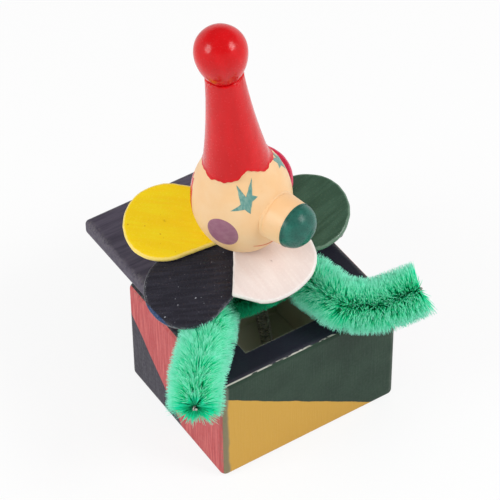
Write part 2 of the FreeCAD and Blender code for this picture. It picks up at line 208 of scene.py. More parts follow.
floor_material = bpy.data.materials.new("pale_floor")
floor_material.use_nodes = True
floor_tree = floor_material.node_tree
floor_tree.nodes.clear()
matt = add(floor_tree, "BsdfDiffuse", {"Color": "#f4f4f4"})
glow = add(floor_tree, "Emission", {"Color": "#ffffff", "Strength": 1.0})
glow_share = add(floor_tree, "Math", [shows_as_background(floor_tree), FLOOR_GLOW], operation="MULTIPLY")
both = add(floor_tree, "MixShader", [glow_share, matt, glow])
add(floor_tree, "OutputMaterial", [both])
floor_mesh = bpy.data.meshes.new("floor")
corners = [(-FLOOR_HALF, -FLOOR_HALF, 0), (FLOOR_HALF, -FLOOR_HALF, 0),
           (FLOOR_HALF, FLOOR_HALF, 0), (-FLOOR_HALF, FLOOR_HALF, 0)]
floor_mesh.from_pydata(corners, [], [(0, 1, 2, 3)])
floor_mesh.materials.append(floor_material)
floor = bpy.data.objects.new("floor", floor_mesh)
bpy.context.scene.collection.objects.link(floor)
print("floor", 2 * FLOOR_HALF, "m across")

# %% Surround
FILL_STRENGTH = 0.54
WALL_STRENGTH = 1.0
CEILING_STRENGTH = 0.2
WALL_ENDS = 0.25
CEILING_STARTS = 0.6
world = bpy.data.worlds.new("white_surround")
world.use_nodes = True
bpy.context.scene.world = world
sky = world.node_tree
sky.nodes.clear()
ray_height = add(sky, "SeparateXYZ", [add(sky, "TexCoord", output="Generated")], output="Z")
from_wall_up = [ray_height, WALL_ENDS, CEILING_STARTS, WALL_STRENGTH, CEILING_STRENGTH]
wall_or_ceiling = add(sky, "MapRange", from_wall_up, **SMOOTH)
strength = add(sky, "MapRange", {"Value": shows_as_background(sky), "To Min": FILL_STRENGTH,
                                 "To Max": wall_or_ceiling})
surround = add(sky, "Background", {"Color": "#ffffff", "Strength": strength})
add(sky, "OutputWorld", [surround])
print("surround lights the object at", FILL_STRENGTH)

# %% Softboxes
LOOK_AT = Vector((0, 0, 50)) * MM
SOFTBOX_DISTANCE = 0.70
SOFTBOX_SIZE = 0.28


def softbox(name, way, watts):
    lamp = bpy.data.lights.new(name, "AREA")
    lamp.shape = "RECTANGLE"
    lamp.size = SOFTBOX_SIZE
    lamp.size_y = SOFTBOX_SIZE
    lamp.energy = watts
    lamp_object = bpy.data.objects.new(name, lamp)
    bpy.context.scene.collection.objects.link(lamp_object)
    lamp_object.location = LOOK_AT + Vector(way).normalized() * SOFTBOX_DISTANCE
    lamp_object.rotation_euler = (LOOK_AT - lamp_object.location).to_track_quat("-Z", "Y").to_euler()


softbox("right_softbox", (0.46, -0.58, 0.67), 2.4)
softbox("left_softbox", (-0.83, 0.13, 0.54), 1.9)
print("two softboxes", SOFTBOX_DISTANCE, "m away")

# %% [markdown]
# ## Box of painted boards
# The boards keep their CAD shapes. Old brushed wall paint covers them: each side is split by a diagonal
# into two colours and the rim is navy. The inside is a pale olive, paler than its real dull paint, as painted
# fill light for the dim cavity. The colours could be cut as separate faces. Here they are chosen by where a
# point lies on the box, so there is no seam, and the wear along the edges comes from the same distances.

# %% Box paint: where a point lies
# Emulsion brushed on by hand: half matt, with fine bristle lines, rubbed pale along the edges
box_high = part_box("back_wall")[1]
HALF_WIDTH = box_high.x / MM
HALF_DEPTH = box_high.y / MM
RIM = box_high.z / MM
CAVITY_HALF_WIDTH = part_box("right_wall")[0].x / MM
CAVITY_HALF_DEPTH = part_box("back_wall")[0].y / MM
SEAM = 0.05
PATCH_MM = 6.0
GRIT_MM = 0.7
BRISTLE_MM = 0.38
LINE_WOBBLE = 1.2
box_paint, tree, shader, place = new_finish("brushed_box_paint", IOR=1.32)
x, y, z = add(tree, "SeparateXYZ", [place]).node.outputs
across_box = add(tree, "Math", [x], operation="ABSOLUTE")
along_box = add(tree, "Math", [y], operation="ABSOLUTE")
from_side = add(tree, "Math", [HALF_WIDTH, across_box], operation="SUBTRACT")
from_front = add(tree, "Math", [HALF_DEPTH, along_box], operation="SUBTRACT")
from_top = add(tree, "Math", [RIM, z], operation="SUBTRACT")
on_side = add(tree, "Math", [from_side, from_front], operation="LESS_THAN")
patches = add(tree, "TexNoise", {"Vector": place, "Scale": 1 / PATCH_MM, "Detail": 3.0})
grit = add(tree, "TexNoise", {"Vector": place, "Scale": 1 / GRIT_MM, "Detail": 4.0})
drawn_up = add(tree, "Mapping", {"Vector": place, "Scale": (1, 1, 24)}, vector_type="TEXTURE")
bristles = add(tree, "TexNoise", {"Vector": drawn_up, "Scale": 1 / BRISTLE_MM, "Detail": 3.0})
uneven = add(tree, "Math", [patches, 0.5], operation="SUBTRACT")
wobble = add(tree, "Math", [uneven, LINE_WOBBLE], operation="MULTIPLY")
print("box", HALF_WIDTH * 2, "x", HALF_DEPTH * 2, "x", RIM, "mm")

# %% Box paint: two colours on each side
FRONT_SLOPE = -0.618
FRONT_HEIGHT = 12.2
SIDE_SLOPE = 0.928
SIDE_HEIGHT = 3.75
LINE_SOFTNESS = 0.12


def over_diagonal(run, facing, slope, height):
    # 1 above a painted diagonal and 0 below it. The opposite side of the box mirrors it
    mirror = add(tree, "Math", [facing], operation="SIGN")
    run = add(tree, "Math", [run, mirror], operation="MULTIPLY")
    level = add(tree, "Math", [z, height], operation="SUBTRACT")
    over = add(tree, "Math", [run, slope, level], operation="MULTIPLY_ADD")
    over = add(tree, "Math", [over, wobble], operation="ADD")
    return add(tree, "MapRange", [over, -LINE_SOFTNESS, LINE_SOFTNESS], **SMOOTH)


green_shade = add(tree, "MapRange", [patches, 0.3, 0.7], **SMOOTH)
bottle_green = add(tree, "Mix", {FACTOR: green_shade, FROM: "#21372a", TO: "#2a4032"}, **COLOURS)
over_front = over_diagonal(x, y, FRONT_SLOPE, FRONT_HEIGHT)
front_colour = add(tree, "Mix", {FACTOR: over_front, FROM: "#d0a144", TO: bottle_green}, **COLOURS)
brush_shade = add(tree, "MapRange", [bristles, 0.35, 0.7], **SMOOTH)
faded_red = add(tree, "Mix", {FACTOR: brush_shade, FROM: "#b8474a", TO: "#d16b69"}, **COLOURS)
coal = add(tree, "Mix", {FACTOR: brush_shade, FROM: "#302d38", TO: "#423f4a"}, **COLOURS)
over_side = over_diagonal(y, x, SIDE_SLOPE, SIDE_HEIGHT)
side_colour = add(tree, "Mix", {FACTOR: over_side, FROM: coal, TO: faded_red}, **COLOURS)
colour = add(tree, "Mix", {FACTOR: on_side, FROM: front_colour, TO: side_colour}, **COLOURS)
print("diagonals", FRONT_HEIGHT, "mm up the front and", SIDE_HEIGHT, "mm up the sides")

# %% Box paint: rim and inside
RIM_WOBBLE = 0.2
nearest_side = add(tree, "Math", [from_side, from_front], operation="MINIMUM")
above_sides = add(tree, "Math", [nearest_side, from_top], operation="SUBTRACT")
above_sides = add(tree, "Math", [wobble, RIM_WOBBLE, above_sides], operation="MULTIPLY_ADD")
on_rim = add(tree, "MapRange", [above_sides, -SEAM, SEAM], **SMOOTH)
colour = add(tree, "Mix", {FACTOR: on_rim, FROM: colour, TO: "#22222f"}, **COLOURS)
within_width = add(tree, "Math", [across_box, CAVITY_HALF_WIDTH + SEAM], operation="LESS_THAN")
within_depth = add(tree, "Math", [along_box, CAVITY_HALF_DEPTH + SEAM], operation="LESS_THAN")
inside = add(tree, "Math", [within_width, within_depth], operation="MULTIPLY")
# Inside: a pale olive, paler than the real paint, as painted fill light for the dim cavity
colour = add(tree, "Mix", {FACTOR: inside, FROM: colour, TO: "#c9cab4"}, **COLOURS)
print("mouth", 2 * CAVITY_HALF_WIDTH, "x", 2 * CAVITY_HALF_DEPTH, "mm")

# %% Box paint: edges rubbed grey
RUBBED_SHARE = 0.35
BAND_SHARE = 0.8
upright_edge = add(tree, "Math", [from_side, from_front], operation="ADD")
from_end = add(tree, "Math", [from_top, z], operation="MINIMUM")
side_edge = add(tree, "Math", [from_side, from_end], operation="ADD")
any_edge = add(tree, "Math", [upright_edge, side_edge], operation="MINIMUM")
ragged = add(tree, "Math", [patches, -2.6, any_edge], operation="MULTIPLY_ADD")
near_edge = add(tree, "MapRange", [ragged, 0.6, -1.0], **SMOOTH)
spots = add(tree, "MapRange", [grit, 0.35, 0.6], **SMOOTH)
rubbed = add(tree, "Math", [near_edge, spots], operation="MULTIPLY")
outside = add(tree, "Math", [1.0, inside], operation="SUBTRACT")
rubbed = add(tree, "Math", [rubbed, outside], operation="MULTIPLY")
rubbed_share = add(tree, "Math", [rubbed, RUBBED_SHARE], operation="MULTIPLY")
colour = add(tree, "Mix", {FACTOR: rubbed_share, FROM: colour, TO: "#7b8077"}, **COLOURS)
on_front = add(tree, "Math", [1.0, on_side], operation="SUBTRACT")
at_left = add(tree, "Math", [x, 0.0], operation="LESS_THAN")
front_left = add(tree, "Math", [on_front, at_left], operation="MULTIPLY")
ragged = add(tree, "Math", [patches, 1.6, upright_edge], operation="MULTIPLY_ADD")
band = add(tree, "MapRange", [ragged, 3.0, 2.2, 0.0, BAND_SHARE], **SMOOTH)
band = add(tree, "Math", [band, front_left], operation="MULTIPLY")
colour = add(tree, "Mix", {FACTOR: band, FROM: colour, TO: "#6d7364"}, **COLOURS)
print("rubbed edges and a worn band at the front left corner")

# %% Box paint: chips along the top of the front, and the surface
CHIP_MM = 1.5
CHIPS_FROM_EDGE = 0.94
BRISTLE_DEPTH = 0.06
at_top_edge = add(tree, "Math", [from_front, from_top], operation="ADD")
from_chips = add(tree, "Math", [at_top_edge, CHIPS_FROM_EDGE], operation="SUBTRACT")
from_chips = add(tree, "Math", [from_chips], operation="ABSOLUTE")
chip_line = add(tree, "MapRange", [from_chips, 0.024, 0.008], **SMOOTH)
drawn_along = add(tree, "Mapping", {"Vector": place, "Scale": (3, 1, 1)}, vector_type="TEXTURE")
chips = add(tree, "TexNoise", {"Vector": drawn_along, "Scale": 1 / CHIP_MM, "Detail": 3.0})
chips = add(tree, "MapRange", [chips, 0.42, 0.5], **SMOOTH)
chipped = add(tree, "Math", [chip_line, chips], operation="MULTIPLY")
colour = add(tree, "Mix", {FACTOR: chipped, FROM: colour, TO: "#b9b6ac"}, **COLOURS)
gloss = add(tree, "MapRange", [grit, 0.2, 0.8, 0.42, 0.62], **SMOOTH)
relief = add(tree, "Math", [rubbed, -0.8, bristles], operation="MULTIPLY_ADD")
bump = add(tree, "Bump", {"Height": relief, "Distance": BRISTLE_DEPTH * MM})
connect(shader, Base_Color=colour, Roughness=gloss, Normal=bump)
paint_nodes(box_paint, "front_wall", "back_wall", "left_wall", "right_wall", "box_floor")

# %% [markdown]
# ## Lid
# The lid is a thin board in a purple black, brushed along its length and rubbed down to grey at its rounded
# edges. Wear could be painted on as a mask by hand. Here a point's distance to the nearest edge is worked
# out from the lid's own sizes, so the wear stays on the edges when the lid changes.

# %% Lid paint
# The same brushed emulsion, nearly black, with long streaks that a wide brush left
lid_low, lid_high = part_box("lid")
LID_MIDDLE = (lid_low + lid_high) / 2 / MM
LID_HALF = (lid_high - lid_low) / 2 / MM
STREAK_MM = 0.9
STREAK_DEPTH = 0.05
LID_RUBBED_SHARE = 0.7
lid_paint, tree, shader, place = new_finish("brushed_lid_paint", IOR=1.36)
from_middle = add(tree, "VectorMath", [place, LID_MIDDLE], operation="SUBTRACT")
from_middle = add(tree, "VectorMath", [from_middle], operation="ABSOLUTE")
inward = add(tree, "VectorMath", [LID_HALF, from_middle], operation="SUBTRACT")
x, y, z = add(tree, "SeparateXYZ", [inward]).node.outputs
long_edge = add(tree, "Math", [y, z], operation="ADD")
short_edge = add(tree, "Math", [x, z], operation="ADD")
corner_edge = add(tree, "Math", [x, y], operation="ADD")
edge = add(tree, "Math", [short_edge, long_edge], operation="MINIMUM")
edge = add(tree, "Math", [edge, corner_edge], operation="MINIMUM")
patches = add(tree, "TexNoise", {"Vector": place, "Scale": 1 / 5.0, "Detail": 4.0})
grit = add(tree, "TexNoise", {"Vector": place, "Scale": 1 / 0.5, "Detail": 4.0})
drawn_along = add(tree, "Mapping", {"Vector": place, "Scale": (12, 1, 1)}, vector_type="TEXTURE")
streaks = add(tree, "TexNoise", {"Vector": drawn_along, "Scale": 1 / STREAK_MM, "Detail": 4.0})
shade = add(tree, "MapRange", [streaks, 0.3, 0.7], **SMOOTH)
colour = add(tree, "Mix", {FACTOR: shade, FROM: "#423c4b", TO: "#57505f"}, **COLOURS)
ragged = add(tree, "Math", [patches, -3.2, edge], operation="MULTIPLY_ADD")
near_edge = add(tree, "MapRange", [ragged, 0.4, -1.3, 0.0, LID_RUBBED_SHARE], **SMOOTH)
spots = add(tree, "MapRange", [grit, 0.35, 0.65], **SMOOTH)
rubbed = add(tree, "Math", [near_edge, spots], operation="MULTIPLY")
colour = add(tree, "Mix", {FACTOR: rubbed, FROM: colour, TO: "#706c70"}, **COLOURS)
gloss = add(tree, "MapRange", [grit, 0.2, 0.8, 0.45, 0.65], **SMOOTH)
bump = add(tree, "Bump", {"Height": streaks, "Distance": STREAK_DEPTH * MM})
connect(shader, Base_Color=colour, Roughness=gloss, Normal=bump)
paint_nodes(lid_paint, "lid")

# %% [markdown]
# ## Bare wood and spring
# The peg under the spring, its plug and the neck are plain beech. The spring is bright drawn wire. A curve
# with a round bevel would draw it. Here it is remade as a fine helix of mesh, fixed in place from the seat up
# to the neck.

# %% Beech and drawn steel
# Sanded beech: pale, half matt, with short dark flecks along the grain
GRAIN_MM = 0.8
GRAIN_DEPTH = 0.04
beech, tree, shader, place = new_finish("turned_beech", IOR=1.5)
drawn_up = add(tree, "Mapping", {"Vector": place, "Scale": (1, 1, 8)}, vector_type="TEXTURE")
grain = add(tree, "TexNoise", {"Vector": drawn_up, "Scale": 1 / GRAIN_MM, "Detail": 4.0})
shade = add(tree, "MapRange", [grain, 0.3, 0.7], **SMOOTH)
colour = add(tree, "Mix", {FACTOR: shade, FROM: "#b08a5e", TO: "#d3b083"}, **COLOURS)
gloss = add(tree, "MapRange", [grain, 0.2, 0.8, 0.5, 0.7], **SMOOTH)
bump = add(tree, "Bump", {"Height": grain, "Distance": GRAIN_DEPTH * MM})
connect(shader, Base_Color=colour, Roughness=gloss, Normal=bump)
paint_nodes(beech, "spring_seat", "neck_plug", "neck_dowel")

# Drawn spring wire: bright metal with a little tarnish
TARNISH_MM = 1.2
steel, tree, shader, place = new_finish("drawn_steel", Metallic=1.0)
tarnish = add(tree, "TexNoise", {"Vector": place, "Scale": 1 / TARNISH_MM, "Detail": 3.0})
shade = add(tree, "MapRange", [tarnish, 0.35, 0.7], **SMOOTH)
colour = add(tree, "Mix", {FACTOR: shade, FROM: "#8f8d86", TO: "#d2cfc6"}, **COLOURS)
gloss = add(tree, "MapRange", [tarnish, 0.2, 0.8, 0.28, 0.48], **SMOOTH)
connect(shader, Base_Color=colour, Roughness=gloss)

# %% Spring
PIVOT = Vector((-1.65, 1.6, 40.0))
SEAT_TOP = Vector((2.0, -1.3, 6.2))
SPRING_OVER_SEAT = 0.8
SPRING_UNDER_PIVOT = 4.6
COIL_RADIUS = 1.4
WIRE_RADIUS = 0.2
SPRING_TURNS = 30
STEPS_PER_TURN = 28
WIRE_SIDES = 8
spring_line = (PIVOT - SEAT_TOP).normalized()
spring_low = SEAT_TOP + spring_line * SPRING_OVER_SEAT
spring_high = PIVOT - spring_line * SPRING_UNDER_PIVOT
across = spring_line.cross(Vector((0, 1, 0))).normalized()
beside = spring_line.cross(across)


def tube_points(way, radius, sides):
    # Rings round a line of points, carried along it without twisting
    rings = []
    normal = (way[1] - way[0]).orthogonal().normalized()
    for i, point in enumerate(way):
        ahead = (way[min(i + 1, len(way) - 1)] - way[max(i - 1, 0)]).normalized()
        normal = (normal - ahead * normal.dot(ahead)).normalized()
        side = ahead.cross(normal)
        for k in range(sides):
            turn = 2 * math.pi * k / sides
            rings.append(point + (normal * math.cos(turn) + side * math.sin(turn)) * radius)
    return rings


helix = []
for step in range(SPRING_TURNS * STEPS_PER_TURN + 1):
    climb = step / (SPRING_TURNS * STEPS_PER_TURN)
    turn = 2 * math.pi * step / STEPS_PER_TURN
    out = across * math.cos(turn) + beside * math.sin(turn)
    helix.append(spring_low.lerp(spring_high, climb) + out * COIL_RADIUS)
spring_points = tube_points(helix, WIRE_RADIUS, WIRE_SIDES)
spring_faces = capped(spring_points, len(helix), WIRE_SIDES)
coil = new_piece("coil_spring", spring_points, spring_faces, steel, None)
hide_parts("spring")
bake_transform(coil)
print("spring:", SPRING_TURNS, "turns")

# %% [markdown]
# ## Turned figure
# Head and hat were turned on a lathe, and the red of the hat was brushed on by hand down to an uneven
# line. The line could be a mask in one material, but thick paint has an edge that catches the light. So the
# surface is one outline spun about the figure's leaning axis, where a formula gives the radius at a height
# above the middle of the head. The cream piece stops at the painted line and the red piece starts there, a
# little proud.

# %% Figure frame and outline
FIGURE_LEAN = math.radians(-7.4)
FIGURE_BOW = math.radians(2.5)
FIGURE = (Matrix.Translation(PIVOT * MM) @ Matrix.Rotation(FIGURE_LEAN, 4, "Y")
          @ Matrix.Rotation(FIGURE_BOW, 4, "X"))
HEAD_HEIGHT = 25.6
HEAD_RADIUS = 11.8
BROW_ARC = 20.0
CHIN_ARC = 16.5
HAT_BASE = 7.8
HAT_TOP = 4.2
HAT_LENGTH = 29.3
HAT_HOLLOW = 0.5
FILLET_DEEP = 0.28
FILLET_TALL = 0.9
HAT_SEAT = math.sqrt(BROW_ARC ** 2 - (BROW_ARC - HEAD_RADIUS + HAT_BASE) ** 2)
HEAD = FIGURE @ Matrix.Translation((0, 0, HEAD_HEIGHT * MM))
COLUMNS = 192


def egg_radius(height):
    arc = BROW_ARC if height > 0 else CHIN_ARC
    return HEAD_RADIUS - arc + math.sqrt(arc ** 2 - height ** 2)


def hat_radius(height):
    climb = min(1.0, (height - HAT_SEAT) / HAT_LENGTH)
    return HAT_BASE + (HAT_TOP - HAT_BASE) * climb - HAT_HOLLOW * (1 - (2 * climb - 1) ** 2)


def outline_radius(height):
    # Egg below, hat above, with a small hollow of paint filling the corner between them
    if height >= HAT_SEAT:
        radius = hat_radius(height)
    else:
        radius = egg_radius(height)
    fillet = FILLET_DEEP * math.exp(-((height - HAT_SEAT) / FILLET_TALL) ** 2)
    return radius + fillet


def on_head(angle, height, proud=0.0):
    reach = outline_radius(height) + proud
    return Vector((reach * math.cos(angle), reach * math.sin(angle), height))


# Where the painted line rises or falls: direction in degrees, height and half width in degrees
BROW = (-101, 2.7, 24)
TEMPLE = (-15, -1.5, 32)
LINE_OVER_SEAT = 1.2
# The brush's tremble: how high, how many waves round the head, and where they start
BRUSH_WAVES = [(0.22, 7, 0.6), (0.17, 13, 0), (0.10, 29, 2)]


def paint_line(angle):
    # Height of the hat's painted edge: up over the forehead, down at the sides, ragged all round
    height = HAT_SEAT + LINE_OVER_SEAT
    for middle, rise, spread in (BROW, TEMPLE):
        away = (math.degrees(angle) - middle + 180) % 360 - 180
        height += rise * math.exp(-(away / spread) ** 2)
    for tremble, waves, start in BRUSH_WAVES:
        height += tremble * math.sin(waves * angle + start)
    return height


print("hat seat", round(HAT_SEAT, 2), "mm over the middle of the head")


# %% [markdown]
# ## Painted wood finishes
# The toy was painted with household enamel: thick, glossy, with brush lines and small dents. The flesh
# colour is a satin paint on the same wood. Each colour could have its own material from scratch. They differ
# only in streaks, chips and gloss, so one function makes every enamel.

# %% Enamel
ENAMEL_PATCH_MM = 4.0
ENAMEL_GRIT_MM = 0.5
SPECK_MM = 0.8
RIM_WEAR_AND_HIGHLIGHT_SHARE = 0.85
BARE_EDGE = "#e9dfcd"


def enamel(name, colour, deep, rim_chip_and_highlight=None, rim_radius=None, edge_level=None, scuff=None, specks=None,
           roughness=(0.16, 0.30), brush_mm=1.1, brush_depth=0.07, stretch=(10, 1, 1), turn=0.0):
    # Oil enamel levelled under its own weight: a clear glossy skin over streaks that the bristles left
    material, tree, shader, place = new_finish(name, IOR=1.36)
    x, _, z = add(tree, "SeparateXYZ", [place]).node.outputs
    patches = add(tree, "TexNoise", {"Vector": place, "Scale": 1 / ENAMEL_PATCH_MM, "Detail": 3.0})
    grit = add(tree, "TexNoise", {"Vector": place, "Scale": 1 / ENAMEL_GRIT_MM, "Detail": 3.0})
    brush_way = {"Vector": place, "Scale": stretch, "Rotation": (0, 0, math.radians(turn))}
    drawn = add(tree, "Mapping", brush_way, vector_type="TEXTURE")
    strokes = add(tree, "TexNoise", {"Vector": drawn, "Scale": 1 / brush_mm, "Detail": 4.0})
    stroke_shade = add(tree, "MapRange", [strokes, 0.3, 0.7], **SMOOTH)
    patch_shade = add(tree, "MapRange", [patches, 0.2, 0.8, 0.4, 1.0], **SMOOTH)
    shade = add(tree, "Math", [stroke_shade, patch_shade], operation="MULTIPLY")
    base = add(tree, "Mix", {FACTOR: shade, FROM: deep, TO: colour}, **COLOURS)
    if specks:
        dots = add(tree, "TexNoise", {"Vector": place, "Scale": 1 / SPECK_MM, "Detail": 1.0})
        dots = add(tree, "MapRange", [dots, 0.74, 0.78], **SMOOTH)
        base = add(tree, "Mix", {FACTOR: dots, FROM: base, TO: specks}, **COLOURS)
    # Pale rim: chips of bare edge, and on the navy disc also a painted highlight along its rounded rim
    if rim_radius:
        reach = add(tree, "Attribute", output="Fac", attribute_name="rim")
        ragged = add(tree, "Math", [grit, 0.5, reach], operation="MULTIPLY_ADD")
        rim_wear_and_highlight = add(tree, "MapRange", [ragged, rim_radius, rim_radius + 0.3, 0.0, RIM_WEAR_AND_HIGHLIGHT_SHARE], **SMOOTH)
        base = add(tree, "Mix", {FACTOR: rim_wear_and_highlight, FROM: base, TO: rim_chip_and_highlight}, **COLOURS)
    if scuff:
        scuff_colour, scuff_start = scuff
        outward = add(tree, "Math", [grit, 0.6, x], operation="MULTIPLY_ADD")
        scuffed = add(tree, "MapRange", [outward, scuff_start, scuff_start + 0.3], **SMOOTH)
        base = add(tree, "Mix", {FACTOR: scuffed, FROM: base, TO: scuff_colour}, **COLOURS)
    if edge_level:
        height = add(tree, "Math", [grit, 0.3, z], operation="MULTIPLY_ADD")
        bare = add(tree, "MapRange", [height, edge_level + 0.1, edge_level], **SMOOTH)
        base = add(tree, "Mix", {FACTOR: bare, FROM: base, TO: BARE_EDGE}, **COLOURS)
    gloss = add(tree, "MapRange", [grit, 0.3, 0.7, *roughness], **SMOOTH)
    bump = add(tree, "Bump", {"Height": strokes, "Distance": brush_depth * MM})
    connect(shader, Base_Color=base, Roughness=gloss, Normal=bump)
    return material


hat_red = enamel("red_enamel", "#dc0d16", "#cc060d", stretch=(1, 1, 10), brush_mm=2.4, brush_depth=0.05,
                 roughness=(0.16, 0.28))
print(hat_red.name)

# %% Face paint
# Satin flesh paint: even, with a faint warm mottle and the odd bristle line
MOTTLE_MM = 5.0
FACE_GRIT_MM = 0.6
FACE_GRIT_DEPTH = 0.03
flesh, tree, shader, place = new_finish("satin_face_paint", IOR=1.46)
mottle = add(tree, "TexNoise", {"Vector": place, "Scale": 1 / MOTTLE_MM, "Detail": 3.0})
grit = add(tree, "TexNoise", {"Vector": place, "Scale": 1 / FACE_GRIT_MM, "Detail": 4.0})
shade = add(tree, "MapRange", [mottle, 0.3, 0.75], **SMOOTH)
colour = add(tree, "Mix", {FACTOR: shade, FROM: "#f3c690", TO: "#f4cd9d"}, **COLOURS)
bristle_marks = add(tree, "MapRange", [grit, 0.62, 0.78, 0.0, 0.25], **SMOOTH)
colour = add(tree, "Mix", {FACTOR: bristle_marks, FROM: colour, TO: "#e2b27c"}, **COLOURS)
gloss = add(tree, "MapRange", [mottle, 0.3, 0.7, 0.36, 0.48], **SMOOTH)
bump = add(tree, "Bump", {"Height": grit, "Distance": FACE_GRIT_DEPTH * MM})
connect(shader, Base_Color=colour, Roughness=gloss, Normal=bump)
paint_nodes(flesh, "collar_hub")

# %% Head: cream wood up to the painted line
COLLAR_HEIGHT = 11.0
COLLAR_TILT = math.radians(14)
COLLAR_WAY = math.radians(237)
FOOT_OVER_COLLAR = 4.1
HEAD_ROWS = 72
UNDER_HAT = 0.3


def foot_height(angle):
    level = COLLAR_HEIGHT - HEAD_HEIGHT + FOOT_OVER_COLLAR / math.cos(COLLAR_TILT)
    height = level
    for _ in range(6):
        height = level - egg_radius(height) * math.tan(COLLAR_TILT) * math.cos(angle - COLLAR_WAY)
    return height


head_points = []
for row in range(HEAD_ROWS):
    climb = row / (HEAD_ROWS - 1)
    for column in range(COLUMNS):
        angle = 2 * math.pi * column / COLUMNS
        low = foot_height(angle)
        head_points.append(on_head(angle, low + (paint_line(angle) + UNDER_HAT - low) * climb))
head_piece = new_piece("head_cream", head_points, capped(head_points, HEAD_ROWS, COLUMNS), flesh,
                       "figure", HEAD)
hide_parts("head")

# %% Hat: red from the painted line up, with a rounded shoulder under the ball
HAT_ROWS = 90
PAINT_PROUD = 0.13
LIP_PROUD = 0.15
LIP_TALL = 0.45
POOL_TALL = 1.8
RIPPLE = 0.03
POOL_RIPPLE = 0.14
SHOULDER_TALL = 0.5
SHOULDER_DEEP = 0.5
ROW_CROWDING = 0.9
hat_top_height = HAT_SEAT + HAT_LENGTH
# First two rings of the paint's edge: how far over the painted line, and how far proud of the wood
PAINT_EDGE = [(0.06, -0.25), (0.0, 0.04)]
LINE_TO_FIRST_ROW = 0.10
hat_points = []
for over_line, proud in PAINT_EDGE:
    for column in range(COLUMNS):
        angle = 2 * math.pi * column / COLUMNS
        hat_points.append(on_head(angle, paint_line(angle) + over_line, proud))
for row in range(HAT_ROWS):
    share = row / (HAT_ROWS - 1)
    climb = share - ROW_CROWDING * math.sin(2 * math.pi * share) / (2 * math.pi)
    for column in range(COLUMNS):
        angle = 2 * math.pi * column / COLUMNS
        start = paint_line(angle) + LINE_TO_FIRST_ROW
        height = start + (hat_top_height - start) * climb
        lip = LIP_PROUD * math.exp(-((height - start) / LIP_TALL) ** 2)
        drop = min(1.0, max(0.0, (height - hat_top_height) / SHOULDER_TALL + 1))
        shoulder = SHOULDER_DEEP * (1 - math.sqrt(1 - drop ** 2))
        around = Vector((math.cos(angle) * 3, math.sin(angle) * 3, height * 0.5))
        pooled = math.exp(-((hat_top_height - height) / POOL_TALL) ** 2)
        ripple = RIPPLE * noise.noise(around) + POOL_RIPPLE * pooled * noise.noise(around * 2.4)
        hat_points.append(on_head(angle, height, PAINT_PROUD + lip + ripple - shoulder))
hat_piece = new_piece("hat_red", hat_points, capped(hat_points, HAT_ROWS + len(PAINT_EDGE), COLUMNS), hat_red,
                      "figure", HEAD)
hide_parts("hat")

# %% Ball on the hat
BALL_RADIUS = 6.0
BALL_DROP = 7.0
BALL_FLAT = 3.9
BALL_ROWS = 72
BALL_POLE_GAP = 0.02
BALL_RIPPLE = 0.035
BALL_FINE_RIPPLE = 0.012
BALL_NARROWING = BALL_RADIUS - BALL_FLAT
BALL_SIDE = (BALL_NARROWING ** 2 + BALL_DROP ** 2) / (2 * BALL_NARROWING)


def ball_reach(height):
    # A half ball above its middle, and a longer arc that narrows to the hat below
    if height > 0:
        return math.sqrt(max(0.0, BALL_RADIUS ** 2 - height ** 2))
    return BALL_RADIUS - BALL_SIDE + math.sqrt(BALL_SIDE ** 2 - height ** 2)


ball_points = []
for row in range(BALL_ROWS):
    share = row / (BALL_ROWS - 1)
    height = -BALL_DROP + (BALL_DROP + BALL_RADIUS) * math.sin(share * (math.pi / 2 - BALL_POLE_GAP))
    for column in range(COLUMNS):
        angle = 2 * math.pi * column / COLUMNS
        way = Vector((math.cos(angle), math.sin(angle), height / BALL_RADIUS))
        ripple = BALL_RIPPLE * noise.noise(way * 2.2) + BALL_FINE_RIPPLE * noise.noise(way * 7)
        reach = ball_reach(height) + ripple * min(1.0, ball_reach(height))
        ball_points.append((reach * math.cos(angle), reach * math.sin(angle), height))
BALL = HEAD @ Matrix.Translation((0, 0, (hat_top_height + BALL_DROP) * MM))
ball_piece = new_piece("ball_red", ball_points, capped(ball_points, BALL_ROWS, COLUMNS), hat_red,
                       "figure", BALL)
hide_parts("hat_ball")

# %% [markdown]
# ## Nose
# The nose is a tapered peg pushed into the head, in the same cream, with a groove where it meets the face.
# Its end was dipped in teal enamel, which left a clean rounded edge. A second colour on one mesh would do,
# but the dip is a skin of its own, so it is a second piece that stands a little proud of the peg.

# %% Nose and its teal tip
NOSE_TURN = math.radians(16 - 90)
NOSE_RISE = 1.0
NOSE_BASE = 5.9
NOSE_END = 5.3
NOSE_TAPER = 6.8
NOSE_DOME = 3.6
TEAL_START = 6.1
TEAL_PROUD = 0.10
GROOVE_DEEP = 0.22
GROOVE_HEIGHT = 0.75
GROOVE_HALF = 0.28
PEG_STEPS = 40
PEG_UNDER_TEAL = 0.1
# First rings of the dipped edge: how far proud of the peg, and how far past the start of the teal
TEAL_EDGE = [(-0.3, 0.0), (0.02, 0.0), (0.08, 0.06)]
TEAL_SIDE_START = TEAL_START + 0.14
TEAL_SIDE_END = NOSE_TAPER - 1.1
TEAL_SIDE_STEPS = 10
DOME_START = NOSE_TAPER - 1.0
DOME_STEPS = 40
DOME_FULLNESS = 0.92
nose_seat = math.sqrt(HEAD_RADIUS ** 2 - NOSE_BASE ** 2)
NOSE = (HEAD @ Matrix.Translation((0, 0, NOSE_RISE * MM)) @ Matrix.Rotation(NOSE_TURN, 4, "Z")
        @ Matrix.Rotation(math.pi / 2, 4, "Y") @ Matrix.Translation((0, 0, nose_seat * MM)))


def spun(outline):
    turns = [2 * math.pi * column / COLUMNS for column in range(COLUMNS)]
    return [(radius * math.cos(turn), radius * math.sin(turn), height)
            for radius, height in outline for turn in turns]


def nose_radius(height):
    groove = GROOVE_DEEP * math.exp(-((height - GROOVE_HEIGHT) / GROOVE_HALF) ** 2)
    return NOSE_BASE + (NOSE_END - NOSE_BASE) * height / NOSE_TAPER - groove


